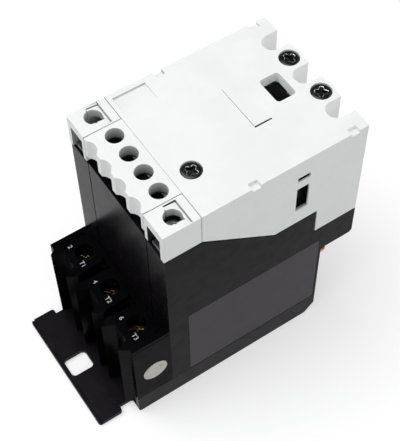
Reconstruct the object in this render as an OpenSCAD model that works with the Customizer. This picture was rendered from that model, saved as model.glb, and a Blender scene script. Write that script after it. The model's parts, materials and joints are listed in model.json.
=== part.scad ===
// Magnetic motor starter: a plug-on contactor module with a white front cover over a black
// housing, three screw terminals with rising clamps, and a coil that pulls the contacts shut.
// Millimetres. X is the width, +Y runs from the terminals to the plug-in end, +Z is up.
// The origin lies on the mounting plane, in the plane of the housing's front face.

/* [Body] */
// Width of the housing and of the cover
body_w = 54; // [52:0.5:66]
// Depth of the lower housing, front face to plug-in face
body_d = 60.5; // [58:0.5:74]
// Height from the mounting plane to the top of the cover
body_h = 95.6; // [94:0.2:118]
// How far the head stands out past the plug-in face
head_out = 12.9; // [11:0.1:15]
// Height of the head's underside above the mounting plane
head_z = 39.1; // [37:0.1:48]
// Thickness of the housing's walls
wall = 2; // [1.6:0.1:2.4]

/* [Base tray] */
// Thickness of the tray's floor and of the fixing foot
plate_t = 1.7; // [1.4:0.1:2.4]
// Height of the tray's side walls
tray_h = 9; // [7:0.1:11]
// How far the fixing foot reaches in front of the housing
foot_reach = 27.8; // [26:0.1:34]
// Width of the fixing foot
foot_w = 48.4; // [44:0.1:52]
// Width of the fixing slot
slot_w = 7.6; // [5:0.1:10]
// Length of the fixing slot, along Y
slot_l = 8.5; // [7.8:0.1:10]

/* [Poles and terminals] */
// Distance from pole to pole
pole_pitch = 16.6; // [13.8:0.1:17]
// Width of a terminal tower
tower_w = 13.2; // [12.4:0.1:13.6]
// Height of the terminal towers above the mounting plane
tower_h = 38.6; // [38:0.1:46]
// How far the towers stand out in front of the housing
tower_reach = 16; // [15:0.1:20]
// How far the side walls of the terminal block stand out
cheek_reach = 13.6; // [12:0.1:15]
// Width of the copper bars
bar_w = 6.4; // [5:0.1:6.6]
// Thickness of the copper bars
bar_t = 1.5; // [1.2:0.1:1.8]
// Lift of a terminal clamp from open to tight
clamp_lift = 2.1; // [1.4:0.1:2.4]

/* [Magnet and contacts] */
// Width of the laminated core and of the armature
core_w = 40; // [36:0.5:42]
// Depth of the lamination stack
core_d = 14; // [12:0.5:16]
// Stroke of the armature and the contact carrier
stroke = 4.5; // [3:0.1:5.4]
// Air gap between the contacts when they are open
contact_gap = 3; // [2:0.1:3.4]
// Distance between the two contact points of a bridge
bridge_span = 32; // [28:0.5:33]

/* [Front cover] */
// Thickness of the cover's top and skirt
cover_t = 2; // [1.6:0.1:2.4]
// Depth of the terminal covers along the front edge
strip_d = 13.35; // [12.5:0.05:14.5]
// Half the width of the middle terminal cover
strip_half = 16.7; // [16.5:0.1:17.2]
// Drop of the skirt at the terminals, below the top
drop_front = 12.5; // [11.5:0.1:13.5]
// Drop of the skirt at the middle, below the top
drop_mid = 31.4; // [29:0.1:34]
// Drop of the skirt at the plug-in end, below the top
drop_back = 42.8; // [40:0.1:46]
// Radius of the screwdriver channels at the plug-in end
channel_r = 3.35; // [2.6:0.05:3.6]
// Radius of a cover screw's head
head_r = 3.3; // [2.8:0.1:3.4]

/* [Hidden] */

$fn = 40;
eps = 0.01;
// Clearances: a running fit, a seat, a gap between mouldings and room for a moving part
fit = 0.05;
seat = 0.1;
seam = 0.3;
room = 0.5;

half = body_w / 2;
front_y = seam;
head_y = body_d + head_out;
top = body_h;
mid_y = (front_y + body_d) / 2 - 0.4;
function pole_x(i) = (i - 2) * pole_pitch;

// Housing walls: the liner stands inside the cover's skirt
liner_half = half - cover_t - seam;
inner_half = liner_half - wall;
inner_front = front_y + wall;
inner_back = body_d - wall;
liner_front = strip_d + cover_t + seam;
liner_back = head_y - cover_t - seam;
cover_gap = 0.45;
deck_z = top - drop_front - cover_gap;
slot_deck_z = deck_z + 0.7;
head_seam_z = top - drop_back - cover_gap;
// Where the skirt's slope ends and where it steps down to the head
slope_y = 40.3;
step_y = body_d - 3.7;
deck_t = 1.5;

// Base tray
slot_front = foot_reach - 1.6;
foot_neck_w = 44;
foot_neck_y = 17.6;
tray_chamfer = 3.9;
groove = 0.8;
post_x = inner_half - 2.4;
post_front_y = inner_front + 3.4;
post_r = 2.6;
post_back_y = body_d - tray_chamfer - 1 - post_r - seam;
base_shank_r = 1.3;
base_head_r = 2.4;
base_head_t = 1.2;
base_screw_l = 11;

// Terminal block and clamps
clamp_y = -5.9;
clamp_half_w = 4.5;
clamp_half_d = 3.7;
clamp_h = 12;
clamp_wall = 1;
clamp_top_t = 2.5;
clamp_floor_t = 1.5;
screw_drop = 5;
screw_head_r = 3;
screw_head_h = 2.6;
screw_shank_r = 2;
shoulder_t = 1.2;
shoulder_z = tower_h - screw_drop - screw_head_h - seat;
clamp_rest_z = shoulder_z - shoulder_t - 0.2 - clamp_lift - clamp_h;
bar_z = clamp_rest_z + clamp_lift + clamp_floor_t + 2.5;
web_t = 1.8;
web_h = tower_h - 1.6;
cheek_t = 2;
cheek_h_right = tower_h + 3.5;
cheek_h_left = tower_h - 2.3;
funnel_y = 11.8;

// Magnet stack, from the tray upwards
cushion_t = 1.5;
core_z = plate_t + cushion_t;
yoke_t = 6;
core_leg = 14;
armature_leg = 11.5;
centre_leg_w = 12;
outer_leg_w = 6.5;
pole_face_z = core_z + yoke_t + core_leg;
closed_gap = 0.1;
armature_z = pole_face_z + closed_gap + stroke;
armature_top = armature_z + armature_leg + yoke_t;
ring_wire = 1.1;
ring_depth = 1.5;
bobbin_wall = 1;
bobbin_clear = 0.3;
flange_t = 1.2;
bobbin_z = core_z + yoke_t + seat;
bobbin_top = pole_face_z + closed_gap + armature_leg - room;
flange_x = core_w / 2 - outer_leg_w - 0.4;
flange_y = core_d / 2 + 6.9;

// Contact level and carrier
carrier_z = armature_top + seat;
carrier_base_t = 3.2;
band_half = 13.2;
shelf_t = 1.5;
contact_z = carrier_z + carrier_base_t + 1.9;
button_r = 2;
button_h = 1;
bridge_w = 6;
bridge_t = 1.2;
bridge_z = contact_z + bar_t + 2 * button_h + contact_gap;
overtravel = stroke - contact_gap;
comb_half_d = 3.5;
comb_half_w = inner_half - 1.2;
comb_window_h = 13;
comb_top = bridge_z + comb_window_h + 2;
carrier_base_half_d = 12.4;
carrier_base_half_w = 9;
spring_y = core_d / 2 + 3;
clip_x = 6.5;
clip_half_w = 2.5;
clip_t = 1.5;
clip_h = 5.3;
pin_r = 1.1;
pin_z = armature_top - yoke_t / 2;

// Arc chambers
partition_t = 1.6;
partition_gap = comb_half_d + 1;
arc_cover_z = comb_top + 2;
arc_cover_t = 2;
splitter_t = 1;
splitter_pitch = 3;
splitter_l = 8;
splitters = 4;
splitter_z = bridge_z + bridge_t + 1.6;

// Screwdriver channels, cover bosses and screws
channel_y = head_y - 7.9 + channel_r;
channel_wall = 1.4;
channel_h = 20;
front_post_r = 2.4;
screw_front = [11.2, liner_front + wall + front_post_r + fit];
screw_back = [pole_pitch / 2, head_y - 3.9];
cover_boss_r = pole_pitch / 2 - channel_r - 0.35;
cover_boss_t = 4.2;
side_lip = [half - cover_t - 1, half - 0.65];
liner_top = top - cover_boss_t - seam;
cover_head_t = 2.1;
cover_shank_r = 1.4;
cover_screw_l = 14;
post_top = top - cover_boss_t - seat;

// Indicator and its window
window_x = [-5.7, 4.6];
window_y = [body_d - 4.6, body_d + 2.5];
window_depth = 4;
flag_gap = 0.35;
flag_top = top - window_depth + 0.2;
arm_z = arc_cover_z + arc_cover_t + stroke + 1;
arm_t = 2.5;
stem_half = 2.6;
stem_half_d = 2;

// Terminals of the coil and of the control circuit
coil_x = half - 4.9;
coil_y = 6.6;
coil_hole_r = 2.95;
block_lip = 3.5;
block_wall = 1.8;
coil_plate_t = 1.5;
coil_head_r = 2.7;
coil_head_h = 2.4;
coil_shank_r = 1.75;
coil_screw_top = top - 5;
coil_screw_z = deck_z - deck_t - 0.4;
coil_drop = 1.8;
saddle_t = 1;
saddle_half = 3.2;
lead_r = 0.7;
lead_x = inner_half - lead_r - 0.1;
lead_y = inner_front + 11.2;
tail_y = coil_y + 3.3;
tail_drop = 2.5;
hole_pitch = 8.15;
hole_r = 2.95;
scallop_r = 3.6;
scallop_y = -2;
fin_h = 8.4;
fin_half = strip_half - 0.2;
strip_hole_l = 5.2;
strip_rib_t = 1.9;
strip_wall = 1.6;
rib_t = 0.8;
coil_notch = 0.3;
coil_flat = 2.3;

// Lengths of the labels and markers
label_t = 0.3;
label_y = [7.6, body_d - 1];
label_z = [tray_h + 0.6, 44.9];
sticker_r = 4.5;
sticker_t = 0.12;
marker_x = [-9.3, 8.25];
marker_y = [44.6, 50.8];
marker_t = 1;
marker_lip = 0.7;

// A box from one corner to the opposite one
module block(a, b) {
    translate(a) cube(b - a);
}

// An outline in the YZ plane, extruded evenly to both sides of the middle
module across(points, half_w) {
    rotate([90, 0, 90]) linear_extrude(2 * half_w, center = true) polygon(points);
}

module rod(x, y, z, r, h) {
    translate([x, y, z]) cylinder(r = r, h = h);
}

// A rectangle with true arcs at its corners
module round_rect(a, b, r) {
    translate([a[0] + r, a[1]]) square([b[0] - a[0] - 2 * r, b[1] - a[1]]);
    translate([a[0], a[1] + r]) square([b[0] - a[0], b[1] - a[1] - 2 * r]);
    for (x = [a[0] + r, b[0] - r], y = [a[1] + r, b[1] - r]) translate([x, y]) circle(r);
}

// Base tray: fixing foot, floor and low side walls under the housing
module base_tray() {
    color("#2c292b") difference() {
        union() {
            difference() {
                across([[-cheek_reach + 1.2, 0], [body_d - tray_chamfer, 0], [body_d, tray_chamfer],
                    [body_d, tray_h], [-cheek_reach, tray_h], [-cheek_reach, 1.2],
                    [-cheek_reach + 0.35, 0.35]], half);
                block([-half + cheek_t, -cheek_reach - 1, plate_t],
                    [half - cheek_t, body_d - tray_chamfer - 1, tray_h + 1]);
                block([-half + cheek_t, 0, tray_chamfer + 1],
                    [half - cheek_t, body_d - wall, tray_h + 1]);
            }
            linear_extrude(plate_t) round_rect([-foot_w / 2, -foot_reach],
                [foot_w / 2, -foot_neck_y - 1], 1);
            block([-foot_neck_w / 2, -foot_neck_y - 3, 0], [foot_neck_w / 2, -cheek_reach + 1, plate_t]);
        }
        translate([0, 0, -1]) linear_extrude(plate_t + 2)
            round_rect([-slot_w / 2, -slot_front], [slot_w / 2, -slot_front + slot_l], 1.5);
        block([-foot_w, -foot_reach + 0.5, plate_t - groove],
            [foot_w, -foot_reach + 0.5 + groove, plate_t + 1]);
        for (x = [-post_x, post_x], y = [post_front_y, post_back_y]) {
            rod(x, y, -1, base_shank_r + seat, plate_t + 2);
            rod(x, y, -1, base_head_r + seat, base_head_t + 1);
        }
    }
}

// The plan of a screwdriver channel, open towards the plug-in end
module channel_plan(r) {
    translate([0, channel_y]) circle(r);
    translate([-r, channel_y]) square([2 * r, head_y + 1 - channel_y]);
}

module housing_shell() {
    difference() {
        union() {
            across([[front_y, tray_h + fit], [body_d, tray_h + fit], [body_d, head_z],
                [head_y - 1, head_z], [head_y, head_z + 1], [head_y, head_seam_z],
                [step_y - cover_gap, head_seam_z], [step_y - cover_gap, top - drop_mid - cover_gap],
                [slope_y, top - drop_mid - cover_gap], [strip_d, deck_z], [front_y, deck_z]], half);
            across([[liner_front, deck_z - 40], [liner_back, deck_z - 40], [liner_back, liner_top],
                [liner_front, liner_top]], liner_half);
            block([-strip_half + 0.2, front_y, deck_z - 1], [strip_half - 0.2, strip_d - seat, slot_deck_z]);
            block([-strip_half + 0.7, strip_d - strip_rib_t, deck_z],
                [strip_half - 0.7, strip_d - 0.2, top - fin_h - seat]);
            for (x = [-strip_half + strip_wall + seat, strip_half - strip_wall - seat - rib_t])
                block([x, scallop_y + scallop_r + strip_wall + seat, deck_z],
                    [x + rib_t, strip_d - strip_rib_t - 2 * seat, top - strip_hole_l - seat]);
        }
        across([[inner_front, 0], [inner_back, 0], [inner_back, head_z + wall],
            [liner_back - wall, head_z + wall], [liner_back - wall, top], [liner_front + wall, top],
            [liner_front + wall, deck_z - deck_t], [inner_front, deck_z - deck_t]], inner_half);
    }
}

// Black housing: shell, pole partitions, contact shelves and screw posts
module main_housing() {
    color("#2a282a") difference() {
        union() {
            housing_shell();
            for (x = [-pole_pitch / 2, pole_pitch / 2]) {
                block([x - partition_t / 2, inner_front - eps, contact_z - shelf_t - eps],
                    [x + partition_t / 2, mid_y - partition_gap, arc_cover_z - seat]);
                block([x - partition_t / 2, mid_y + partition_gap, contact_z - shelf_t - eps],
                    [x + partition_t / 2, inner_back + eps, arc_cover_z - seat]);
            }
            for (y = [[inner_front - eps, mid_y - band_half], [mid_y + band_half, inner_back + eps]])
                block([-inner_half - eps, y[0], contact_z - seat - shelf_t],
                    [inner_half + eps, y[1], contact_z - seat]);
            for (x = [-post_x, post_x], y = [post_front_y, post_back_y]) {
                rod(x, y, plate_t + seat, post_r, bar_z - plate_t - 1);
                block([x - 1, min(y, y < mid_y ? inner_front - eps : y), tray_h + 1],
                    [x + 1, max(y, y < mid_y ? y : inner_back + eps), bar_z - 1]);
            }
            intersection() {
                union() {
                    for (i = [1:3]) translate([pole_x(i), 0, head_z]) linear_extrude(channel_z() - head_z)
                        channel_plan(channel_r + channel_wall);
                    for (s = [-1, 1]) rod(s * screw_back[0], screw_back[1], head_z, 3, post_top - head_z);
                }
                across([[0, 0], [head_y, 0], [head_y, head_seam_z], [liner_back, head_seam_z],
                    [liner_back, top], [0, top]], half);
            }
        }
        for (i = [1:3]) {
            translate([pole_x(i), 0, head_z - 1]) linear_extrude(top) channel_plan(channel_r);
            translate([pole_x(i), 0, channel_z()]) linear_extrude(top)
                channel_plan(channel_r + channel_wall + seam);
            bar_slot(pole_x(i), front_y - 1, inner_front + 1, bar_z);
            bar_slot(pole_x(i), inner_back - 1, body_d + 1, bar_z);
            riser_slot(pole_x(i), inner_front);
            riser_slot(pole_x(i), inner_back - bar_t - 2 * seat);
        }
        for (s = [-1, 1]) {
            rod(s * screw_back[0], screw_back[1], post_top - cover_screw_l, cover_shank_r + fit,
                cover_screw_l + 1);
            rod(s * coil_x, coil_y, coil_screw_z - coil_drop - room, coil_shank_r + 0.3,
                deck_z + 1 + coil_drop + room - coil_screw_z);
            rod(s * lead_x, lead_y, contact_z - 4, lead_r + 0.3, 8);
            rod(s * lead_x, tail_y, deck_z - deck_t - 1, lead_r + 0.3, deck_t + 2);
            // Seams that part the front face into three panels
            block([s * strip_half - 0.25, front_y - 1, tray_h], [s * strip_half + 0.25, front_y + 0.4, top]);
        }
        for (x = [-post_x, post_x], y = [post_front_y, post_back_y])
            rod(x, y, 0, base_shank_r + fit, base_screw_l + 1);
        block([half - label_t, label_y[0] - seat, label_z[0] - seat],
            [half + 1, label_y[1] + seat, label_z[1] + seat]);
    }
}

function channel_z() = top - channel_h;

module bar_slot(x, y0, y1, z) {
    block([x - bar_w / 2 - seat, y0, z - seat], [x + bar_w / 2 + seat, y1, z + bar_t + seat]);
}

module riser_slot(x, y) {
    block([x - bar_w / 2 - seat, y, contact_z - shelf_t - 1],
        [x + bar_w / 2 + seat, y + bar_t + 2 * seat, contact_z + 1]);
}

// The plan of a terminal tower: flared tabs with a wire funnel between them
module tower_plan() {
    polygon([[-5.2, -tower_reach], [-3.2, -funnel_y], [3.2, -funnel_y], [5.2, -tower_reach],
        [tower_w / 2 + 0.7, -12.6], [tower_w / 2, -10.4], [tower_w / 2, -3], [tower_w / 2 - 1.6, -web_t],
        [-tower_w / 2 + 1.6, -web_t], [-tower_w / 2, -3], [-tower_w / 2, -10.4],
        [-tower_w / 2 - 0.7, -12.6]]);
}

// Terminal block: three towers between two side walls, joined by a web at the back
module terminal_block() {
    z0 = tray_h + fit;
    color("#252426") difference() {
        union() {
            block([-half, -cheek_reach, z0], [-half + cheek_t, front_y - fit, cheek_h_left]);
            block([half - cheek_t, -cheek_reach, z0], [half, front_y - fit, cheek_h_right]);
            block([-half + 1, -web_t - eps, z0], [half - 1, front_y - fit, web_h]);
            for (i = [1:3]) translate([pole_x(i), 0, plate_t + seat])
                linear_extrude(tower_h - plate_t - seat) tower_plan();
            for (x = [-pole_pitch / 2, pole_pitch / 2]) {
                block([x - 0.5, -3.6, z0], [x + 0.5, -web_t, tower_h - 1]);
                block([x - 1.6, -3.6, z0], [x + 1.6, -2.9, tower_h - 1]);
            }
        }
        for (i = [1:3]) {
            rod(pole_x(i), clamp_y, shoulder_z, screw_head_r + 0.25, tower_h);
            rod(pole_x(i), clamp_y, clamp_rest_z, screw_shank_r + 0.15, tower_h);
            block([pole_x(i) - clamp_half_w - 0.2, clamp_y - clamp_half_d - 0.2, clamp_rest_z - 0.2],
                [pole_x(i) + clamp_half_w + 0.2, clamp_y + clamp_half_d + 0.2, shoulder_z - shoulder_t]);
            block([pole_x(i) - 3.4, -funnel_y - 1, clamp_rest_z + clamp_floor_t],
                [pole_x(i) + 3.4, clamp_y, bar_z]);
            bar_slot(pole_x(i), clamp_y, 1, bar_z);
        }
        block([half - 0.3, -cheek_reach - 1, cheek_h_right - 1.7], [half + 1, 1, cheek_h_right - 1.3]);
    }
}

// White front cover with its stepped skirt, screwdriver channels and indicator window
module front_cover() {
    color("#f4f5f4") difference() {
        union() {
            difference() {
                across([[strip_d, top - drop_front], [slope_y, top - drop_mid], [step_y, top - drop_mid],
                    [step_y, top - drop_back], [head_y, top - drop_back], [head_y, top],
                    [strip_d, top]], half);
                block([-half + cover_t, strip_d + cover_t, 0], [half - cover_t, head_y - cover_t, top - cover_t]);
            }
            intersection() {
                for (i = [1:3]) translate([pole_x(i), 0, channel_z() + seam])
                    linear_extrude(channel_h - seam) channel_plan(channel_r + channel_wall);
                block([-half, 0, 0], [half, head_y, top]);
            }
            for (s = [-1, 1])
                rod(s * screw_back[0], screw_back[1], top - cover_boss_t, cover_boss_r, cover_boss_t);
            rod(screw_front[0], screw_front[1], top - cover_boss_t, 4.8, cover_boss_t);
            block([window_x[0] - 1.4, window_y[0] - 1.4, top - window_depth],
                [window_x[1] + 1.4, window_y[1] + 1.4, top - 1]);
        }
        for (i = [1:3]) translate([pole_x(i), 0, 0]) linear_extrude(top + 1) channel_plan(channel_r);
        for (p = [screw_front, screw_back, [-screw_back[0], screw_back[1]]]) {
            rod(p[0], p[1], top - cover_head_t - seat, head_r + 0.15, cover_boss_t);
            rod(p[0], p[1], top - cover_boss_t - 1, cover_shank_r + 0.2, cover_boss_t);
        }
        translate([0, 0, top - window_depth - 1]) linear_extrude(window_depth + 2)
            round_rect([window_x[0], window_y[0]], [window_x[1], window_y[1]], 1.2);
        block([marker_x[0], marker_y[0], top - marker_t - seat], [marker_x[1] + 0.5, marker_y[1], top + 1]);
        block([marker_x[1] - marker_lip, marker_y[0] + 0.4, top - cover_t - 1],
            [marker_x[1] + 0.5, marker_y[1] - 0.4, top]);
        // Thumb recess that runs out towards the middle
        translate([0, 26.7, 0]) rotate([90, 0, 0]) linear_extrude(11.7)
            polygon([[-half + 2, top - 0.8], [-half + 10.5, top + eps], [-half + 2, top + eps]]);
        for (s = [-1, 1]) {
            for (y = [30.7, head_y - 6.7]) block([s * half - 2.4, y, top - 1.4], [s * half + 2.4, y + 3.2, top + 1]);
            block([s * half - 3, body_d - 12.8, top - 24.8], [s * half + 3, body_d - 8.2, top - 13.3]);
            block([s * half - 3, body_d - 12.8, top - 9.9], [s * half + 3, body_d - 8.1, top - 7.7]);
            // The wall is thinned from inside round both openings in its side
            block([min(s * side_lip[0], s * side_lip[1]), body_d - 14.3, top - 26.3],
                [max(s * side_lip[0], s * side_lip[1]), body_d - 6.7, top - 7.2]);
        }
    }
}

// Middle terminal cover: four driver holes and four finger grooves in its front
module control_terminal_cover() {
    color("#f6f6f5") difference() {
        union() {
            block([-strip_half + 0.1, 1.6, top - fin_h], [strip_half - 0.1, strip_d - 0.1, top]);
            block([-fin_half, 0, top - fin_h], [fin_half, 2, top]);
        }
        for (i = [-1.5:1:1.5]) {
            rod(i * hole_pitch, 8.15, top - fin_h - 1, hole_r, fin_h + 2);
            rod(i * hole_pitch, scallop_y, top - fin_h - 1, scallop_r, fin_h + 2);
        }
        block([-strip_half + strip_wall, scallop_y + scallop_r + strip_wall, top - fin_h - 1],
            [strip_half - strip_wall, strip_d - strip_rib_t - seat, top - strip_hole_l]);
    }
}

// Cover of one coil terminal, drawn for the right side
module coil_cover() {
    z0 = top - drop_front;
    pocket_y = coil_y + 3.8;
    difference() {
        block([strip_half + 0.15, 0, z0], [half, strip_d - 0.25, top]);
        block([strip_half + 1.7, -1, z0 - 1], [half - block_wall, strip_d - 2, top - block_lip]);
        block([strip_half - 1, -1, z0 - 1], [strip_half + 2, strip_d, z0 + 1]);
        // Sunk field round the driver hole: deepest at the back, it runs out to the front
        translate([strip_half + 0.7, 0, top]) rotate([90, 0, 90]) linear_extrude(half - strip_half - 1)
            polygon([[pocket_y - 5, 0], [pocket_y, -0.6], [pocket_y, 1], [pocket_y - 5, 1]]);
        block([strip_half + 0.7, pocket_y - 0.3, top - 1.6], [half - 0.9, pocket_y + 0.1, top + 1]);
    }
}
// Driver hole with one square corner and a small key slot on each side, cut the same way in both covers
module coil_driver_hole(s) {
    translate([s * coil_x, coil_y, top - block_lip - 1]) linear_extrude(block_lip + 2) {
        intersection() {
            circle(coil_hole_r);
            translate([-coil_hole_r, -coil_hole_r]) square([coil_hole_r + coil_flat, 2 * coil_hole_r]);
        }
        translate([-0.6, 0]) square([coil_flat + 0.6, coil_hole_r - 0.25]);
        translate([-coil_hole_r - coil_notch, -0.9]) square([2, 0.6]);
        translate([coil_flat + coil_notch - 2, -0.7]) square([2, 0.7]);
    }
}

// Short groove along the left edge of the sunk field, the same in both covers
module coil_cover_groove(x) {
    block([x, coil_y - 0.4, top - 1.6], [x + 0.4, coil_y + 3.8, top + 1]);
}

module coil_cover_left() {
    color("#f6f6f5") difference() {
        mirror([1, 0, 0]) coil_cover();
        coil_driver_hole(-1);
        coil_cover_groove(-half + 0.9);
    }
}

module coil_cover_right() {
    color("#f6f6f5") difference() {
        coil_cover();
        coil_driver_hole(1);
        coil_cover_groove(strip_half + 0.7);
    }
}

module marker_plate() {
    color("#f7f8f7") difference() {
        block([marker_x[0] + seat, marker_y[0] + seat, top - marker_t], [marker_x[1], marker_y[1] - seat, top]);
        block([marker_x[1] - marker_lip, marker_y[0], top - marker_t - 1],
            [marker_x[1] + 1, marker_y[1], top - 0.3]);
    }
}

module cross_screw(r, t, shank_r, length) {
    difference() {
        union() {
            translate([0, 0, -t]) cylinder(r = r, h = t);
            translate([0, 0, -length]) cylinder(r = shank_r, h = length);
        }
        for (a = [0, 90]) rotate(a) translate([-0.62 * r, -0.45, -0.6 * t]) cube([1.24 * r, 0.9, t]);
    }
}

module cover_screws() {
    color("#1d1d1f") for (p = [screw_front, screw_back, [-screw_back[0], screw_back[1]]])
        translate([p[0], p[1], top - 0.2]) cross_screw(head_r, cover_head_t - 0.2, cover_shank_r, cover_screw_l);
}

module base_screws() {
    color("#8d9093") for (x = [-post_x, post_x], y = [post_front_y, post_back_y])
        translate([x, y, 0.1]) mirror([0, 0, 1])
            cross_screw(base_head_r, base_head_t - 0.1, base_shank_r, base_screw_l);
}

module rating_label() {
    color("#3b393b") block([half - label_t, label_y[0], label_z[0]], [half, label_y[1], label_z[1]]);
}

module inspection_sticker() {
    color("#d9d9d6") translate([half, -6, tower_h - 15.8]) rotate([0, 90, 0]) cylinder(r = sticker_r, h = sticker_t);
}

module core_cushion() {
    color("#1b1b1b") block([-16, mid_y - core_d / 2 + 1, plate_t], [16, mid_y + core_d / 2 - 1, core_z]);
}

// An E shape: a yoke with two outer legs and a centre leg that point upwards
module e_core(leg) {
    block([-core_w / 2, -core_d / 2, 0], [core_w / 2, core_d / 2, yoke_t]);
    block([-centre_leg_w / 2, -core_d / 2, 0], [centre_leg_w / 2, core_d / 2, yoke_t + leg]);
    for (s = [-1, 1]) translate([s * (core_w - outer_leg_w) / 2, 0, (yoke_t + leg) / 2])
        cube([outer_leg_w, core_d, yoke_t + leg], center = true);
}

module fixed_core() {
    color("#8f9296") translate([0, mid_y, core_z]) difference() {
        e_core(core_leg);
        for (s = [-1, 1]) translate([s * (core_w - outer_leg_w) / 2, 0, yoke_t + core_leg])
            cube([ring_wire + seat, core_d + 2, 2 * ring_depth], center = true);
    }
}

// One copper ring lies in the slot of each outer leg and goes round its outer half
module shading_rings() {
    leg_x = (core_w - outer_leg_w) / 2;
    color("#b87333") for (s = [-1, 1]) translate([0, mid_y, pole_face_z - ring_depth + 0.1])
        mirror([s < 0 ? 1 : 0, 0, 0]) difference() {
            block([leg_x - ring_wire / 2, -core_d / 2 - fit - ring_wire, 0],
                [core_w / 2 + fit + ring_wire, core_d / 2 + fit + ring_wire, ring_wire]);
            block([leg_x + ring_wire / 2, -core_d / 2 - fit, -1], [core_w / 2 + fit, core_d / 2 + fit, 2]);
        }
}

module coil_bobbin() {
    x = centre_leg_w / 2 + bobbin_clear;
    y = core_d / 2 + bobbin_clear;
    color("#d8d2c0") translate([0, mid_y, 0]) difference() {
        union() {
            block([-x - bobbin_wall, -y - bobbin_wall, bobbin_z], [x + bobbin_wall, y + bobbin_wall, bobbin_top]);
            for (z = [bobbin_z, bobbin_top - flange_t])
                block([-flange_x, -flange_y, z], [flange_x, flange_y, z + flange_t]);
        }
        block([-x, -y, bobbin_z - 1], [x, y, bobbin_top + 1]);
    }
}

module coil_winding() {
    x = centre_leg_w / 2 + bobbin_clear + bobbin_wall + fit;
    y = core_d / 2 + bobbin_clear + bobbin_wall + fit;
    color("#9a4f2a") translate([0, mid_y, 0]) difference() {
        translate([0, 0, bobbin_z + flange_t + fit]) linear_extrude(bobbin_top - bobbin_z - 2 * flange_t - 2 * fit)
            round_rect([-flange_x + 0.6, -flange_y + 0.6], [flange_x - 0.6, flange_y - 0.6], 2);
        block([-x, -y, 0], [x, y, top]);
    }
}

// A run of insulated wire with round elbows
module wire_run(points) {
    for (i = [0:len(points) - 2]) {
        d = points[i + 1] - points[i];
        flat = norm([d[0], d[1]]);
        translate(points[i]) rotate([0, atan2(flat, d[2]), atan2(d[1], d[0])]) cylinder(r = lead_r, h = norm(d));
    }
    for (i = [1:len(points) - 2]) translate(points[i]) sphere(lead_r);
}

// Leads from the coil terminals down to the coil's upper flange
module coil_leads() {
    z_turn = bobbin_top + 2;
    z_tail = deck_z - tail_drop;
    color("#7d2b24") for (s = [-1, 1]) wire_run([[s * lead_x, tail_y, z_tail], [s * lead_x, tail_y, z_tail - 1.5],
        [s * lead_x, lead_y, z_tail - 1.5], [s * lead_x, lead_y, z_turn], [s * (flange_x - 1.5), lead_y, z_turn],
        [s * (flange_x - 1.5), mid_y - flange_y + 1.5, z_turn],
        [s * (flange_x - 1.5), mid_y - flange_y + 1.5, bobbin_top + fit]]);
}

module armature() {
    color("#96999d") translate([0, mid_y, armature_top]) difference() {
        mirror([0, 0, 1]) e_core(armature_leg);
        for (s = [-1, 1]) translate([s * clip_x, 0, pin_z - armature_top]) rotate([90, 0, 0])
            cylinder(r = pin_r + fit, h = core_d + 2, center = true);
    }
}

module armature_pins() {
    color("#a9acaf") for (s = [-1, 1]) translate([s * clip_x, mid_y, pin_z]) rotate([90, 0, 0])
        cylinder(r = pin_r, h = core_d + 2 * clip_t, center = true);
}

// Contact carrier: a base that grips the armature and a comb with a window for each bridge
module contact_carrier() {
    color("#3a3033") translate([0, mid_y, 0]) difference() {
        union() {
            block([-carrier_base_half_w, -carrier_base_half_d, carrier_z],
                [carrier_base_half_w, carrier_base_half_d, carrier_z + carrier_base_t]);
            block([-comb_half_w, -comb_half_d, carrier_z + carrier_base_t - eps],
                [comb_half_w, comb_half_d, comb_top]);
            for (s = [-1, 1], t = [-1, 1]) translate([s * clip_x, t * (core_d / 2 + fit + clip_t / 2),
                carrier_z - clip_h / 2 + eps]) cube([2 * clip_half_w, clip_t, clip_h], center = true);
        }
        for (i = [1:3]) block([pole_x(i) - bridge_w / 2 - 0.4, -comb_half_d - 1, bridge_z - fit],
            [pole_x(i) + bridge_w / 2 + 0.4, comb_half_d + 1, comb_top - 2]);
        for (s = [-1, 1]) translate([s * clip_x, 0, pin_z]) rotate([90, 0, 0])
            cylinder(r = pin_r + fit, h = core_d + 8, center = true);
    }
}

// Black flag under the window: it sinks with the carrier when the contacts close
module position_indicator() {
    color("#141414") {
        block([-stem_half, mid_y - stem_half_d, comb_top], [stem_half, mid_y + stem_half_d, arm_z + arm_t]);
        block([-stem_half, mid_y - stem_half_d, arm_z], [stem_half, window_y[1] - flag_gap, arm_z + arm_t]);
        block([window_x[0] + flag_gap, window_y[0] + flag_gap, arm_z],
            [window_x[1] - flag_gap, window_y[1] - flag_gap, flag_top]);
    }
}

// Height of a spring's wire after the given part of its turns: the end turns lie close
function spring_rise(t, turns, wire_r, length) =
    let (dead = 2.2 * wire_r, live = length - 2 * wire_r - 2 * dead)
    t < 1 ? t * dead : t > turns - 1 ? dead + live + (t - turns + 1) * dead
    : dead + live * (t - 1) / (turns - 2);

// Round-wire compression spring that stands on z = 0
module coil_spring(r, wire_r, turns, length) {
    steps = 12;
    sides = 6;
    rings = turns * steps;
    points = [for (i = [0:rings], j = [0:sides - 1]) let (a = 360 * i / steps, b = 360 * j / sides,
        q = r + wire_r * cos(b)) [q * cos(a), q * sin(a),
        wire_r + wire_r * sin(b) + spring_rise(i / steps, turns, wire_r, length)]];
    skin = [for (i = [0:rings - 1], j = [0:sides - 1]) let (k = (j + 1) % sides)
        [i * sides + j, (i + 1) * sides + j, (i + 1) * sides + k, i * sides + k]];
    ends = [[for (j = [0:sides - 1]) j], [for (j = [sides - 1:-1:0]) rings * sides + j]];
    polyhedron(points, concat(skin, ends));
}

module return_springs() {
    color("#b9bcc0") for (s = [-1, 1]) translate([0, mid_y + s * spring_y, bobbin_top + fit])
        coil_spring(1.9, 0.35, 6, carrier_z - bobbin_top - 2 * fit);
}

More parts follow.
